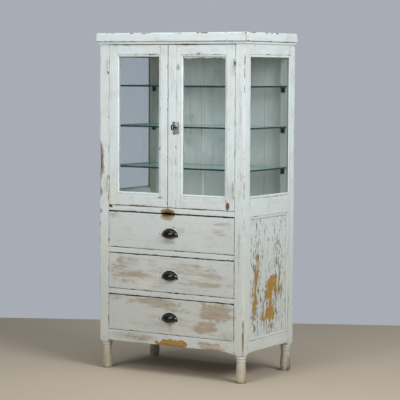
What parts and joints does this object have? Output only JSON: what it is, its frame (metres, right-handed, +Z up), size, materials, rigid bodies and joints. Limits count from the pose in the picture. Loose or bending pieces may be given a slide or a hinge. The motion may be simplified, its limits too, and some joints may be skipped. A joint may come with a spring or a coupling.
{
  "type": "apothecary cabinet",
  "caption": "Tall painted wooden cabinet on turned feet: glazed cupboard with a pair of glazed doors and glass shelves over full-width drawers with black cup pulls.",
  "frame": {"origin": "middle of the overall box at floor level", "axes": "+X to the cabinet's right as seen from the front, -Y out of the front, +Z up"},
  "size_m": [0.88, 0.533, 1.7],
  "materials": {
    "painted_wood": "old white oil paint, worn and chipped",
    "bare_wood": "unpainted softwood, aged",
    "window_glass": "thin clear sheet glass, slightly green",
    "shelf_glass": "thick plate glass with green edges",
    "black_iron": "black enamel and dark iron",
    "plate_steel": "dull nickel-plated sheet"
  },
  "bodies": {
    "carcass": {"post_front_left": "painted_wood", "post_front_right": "painted_wood", "post_back_left": "painted_wood", "post_back_right": "painted_wood", "side_top_rails": "painted_wood", "side_middle_rails": "painted_wood", "side_aprons": "painted_wood", "side_panels": "painted_wood", "side_panes": "window_glass", "side_beads": "painted_wood", "front_top_rail": "painted_wood", "sill_rail": "painted_wood", "drawer_rail_upper": "painted_wood", "drawer_rail_lower": "painted_wood", "front_apron": "painted_wood", "back_rails": "bare_wood", "back_boards": "bare_wood", "cupboard_floor": "bare_wood", "top_panel": "painted_wood", "cornice_front": "painted_wood", "cornice_sides": "painted_wood", "cornice_moulding": "painted_wood", "shelf_upper": "shelf_glass", "shelf_middle": "shelf_glass", "shelf_lower": "shelf_glass", "shelf_clips": "black_iron", "drawer_runners": "bare_wood", "hinge_leaves_post": "black_iron", "hinge_pins": "black_iron"},
    "door_left": {"door_left_stiles": "painted_wood", "door_left_rails": "painted_wood", "door_left_pane": "window_glass", "door_left_beads": "painted_wood", "door_left_leaves": "black_iron", "bolt_keepers": "black_iron"},
    "bolt_up": {"bolt_upper": "black_iron"},
    "bolt_down": {"bolt_lower": "black_iron"},
    "door_right": {"door_right_stiles": "painted_wood", "door_right_rails": "painted_wood", "door_right_pane": "window_glass", "door_right_beads": "painted_wood", "door_right_leaves": "black_iron", "meeting_strip": "painted_wood", "lock_case": "black_iron", "keyhole_plate": "plate_steel", "plate_screws": "black_iron"},
    "lock_bar": {"lock_bolt": "black_iron"},
    "key_body": {"key": "black_iron"},
    "drawer_upper": {"drawer_upper_front": "painted_wood", "drawer_upper_box": "bare_wood", "drawer_upper_bottom": "bare_wood", "drawer_upper_pull": "black_iron"},
    "drawer_middle": {"drawer_middle_front": "painted_wood", "drawer_middle_box": "bare_wood", "drawer_middle_bottom": "bare_wood", "drawer_middle_pull": "black_iron"},
    "drawer_lower": {"drawer_lower_front": "painted_wood", "drawer_lower_box": "bare_wood", "drawer_lower_bottom": "bare_wood", "drawer_lower_pull": "black_iron"}
  },
  "joints": [
    {"name": "door_left_hinge", "type": "hinge", "parent": "carcass", "child": "door_left", "pos_m": [-0.37225, -0.2238, 1.24], "axis": [0, 0, -1], "range_deg": [0, 165]},
    {"name": "door_right_hinge", "type": "hinge", "parent": "carcass", "child": "door_right", "pos_m": [0.37225, -0.2238, 1.24], "axis": [0, 0, 1], "range_deg": [0, 165]},
    {"name": "bolt_up_slide", "type": "slide", "parent": "door_left", "child": "bolt_up", "axis": [0, 0, 1], "range_m": [0, 0.015]},
    {"name": "bolt_down_slide", "type": "slide", "parent": "door_left", "child": "bolt_down", "axis": [0, 0, -1], "range_m": [0, 0.012]},
    {"name": "key_turn", "type": "hinge", "parent": "door_right", "child": "key_body", "pos_m": [0.036, -0.2195, 1.236], "axis": [0, -1, 0], "range_deg": [0, 180]},
    {"name": "lock_bar_slide", "type": "slide", "parent": "door_right", "child": "lock_bar", "axis": [-1, 0, 0], "range_m": [0, 0.0121]},
    {"name": "drawer_upper_slide", "type": "slide", "parent": "carcass", "child": "drawer_upper", "axis": [0, -1, 0], "range_m": [0, 0.33]},
    {"name": "drawer_middle_slide", "type": "slide", "parent": "carcass", "child": "drawer_middle", "axis": [0, -1, 0], "range_m": [0, 0.33]},
    {"name": "drawer_lower_slide", "type": "slide", "parent": "carcass", "child": "drawer_lower", "axis": [0, -1, 0], "range_m": [0, 0.33]}
  ],
  "couplings": [
    {"joint": "lock_bar_slide", "follows": "key_turn", "m_per_rad": 0.0038197}
  ]
}
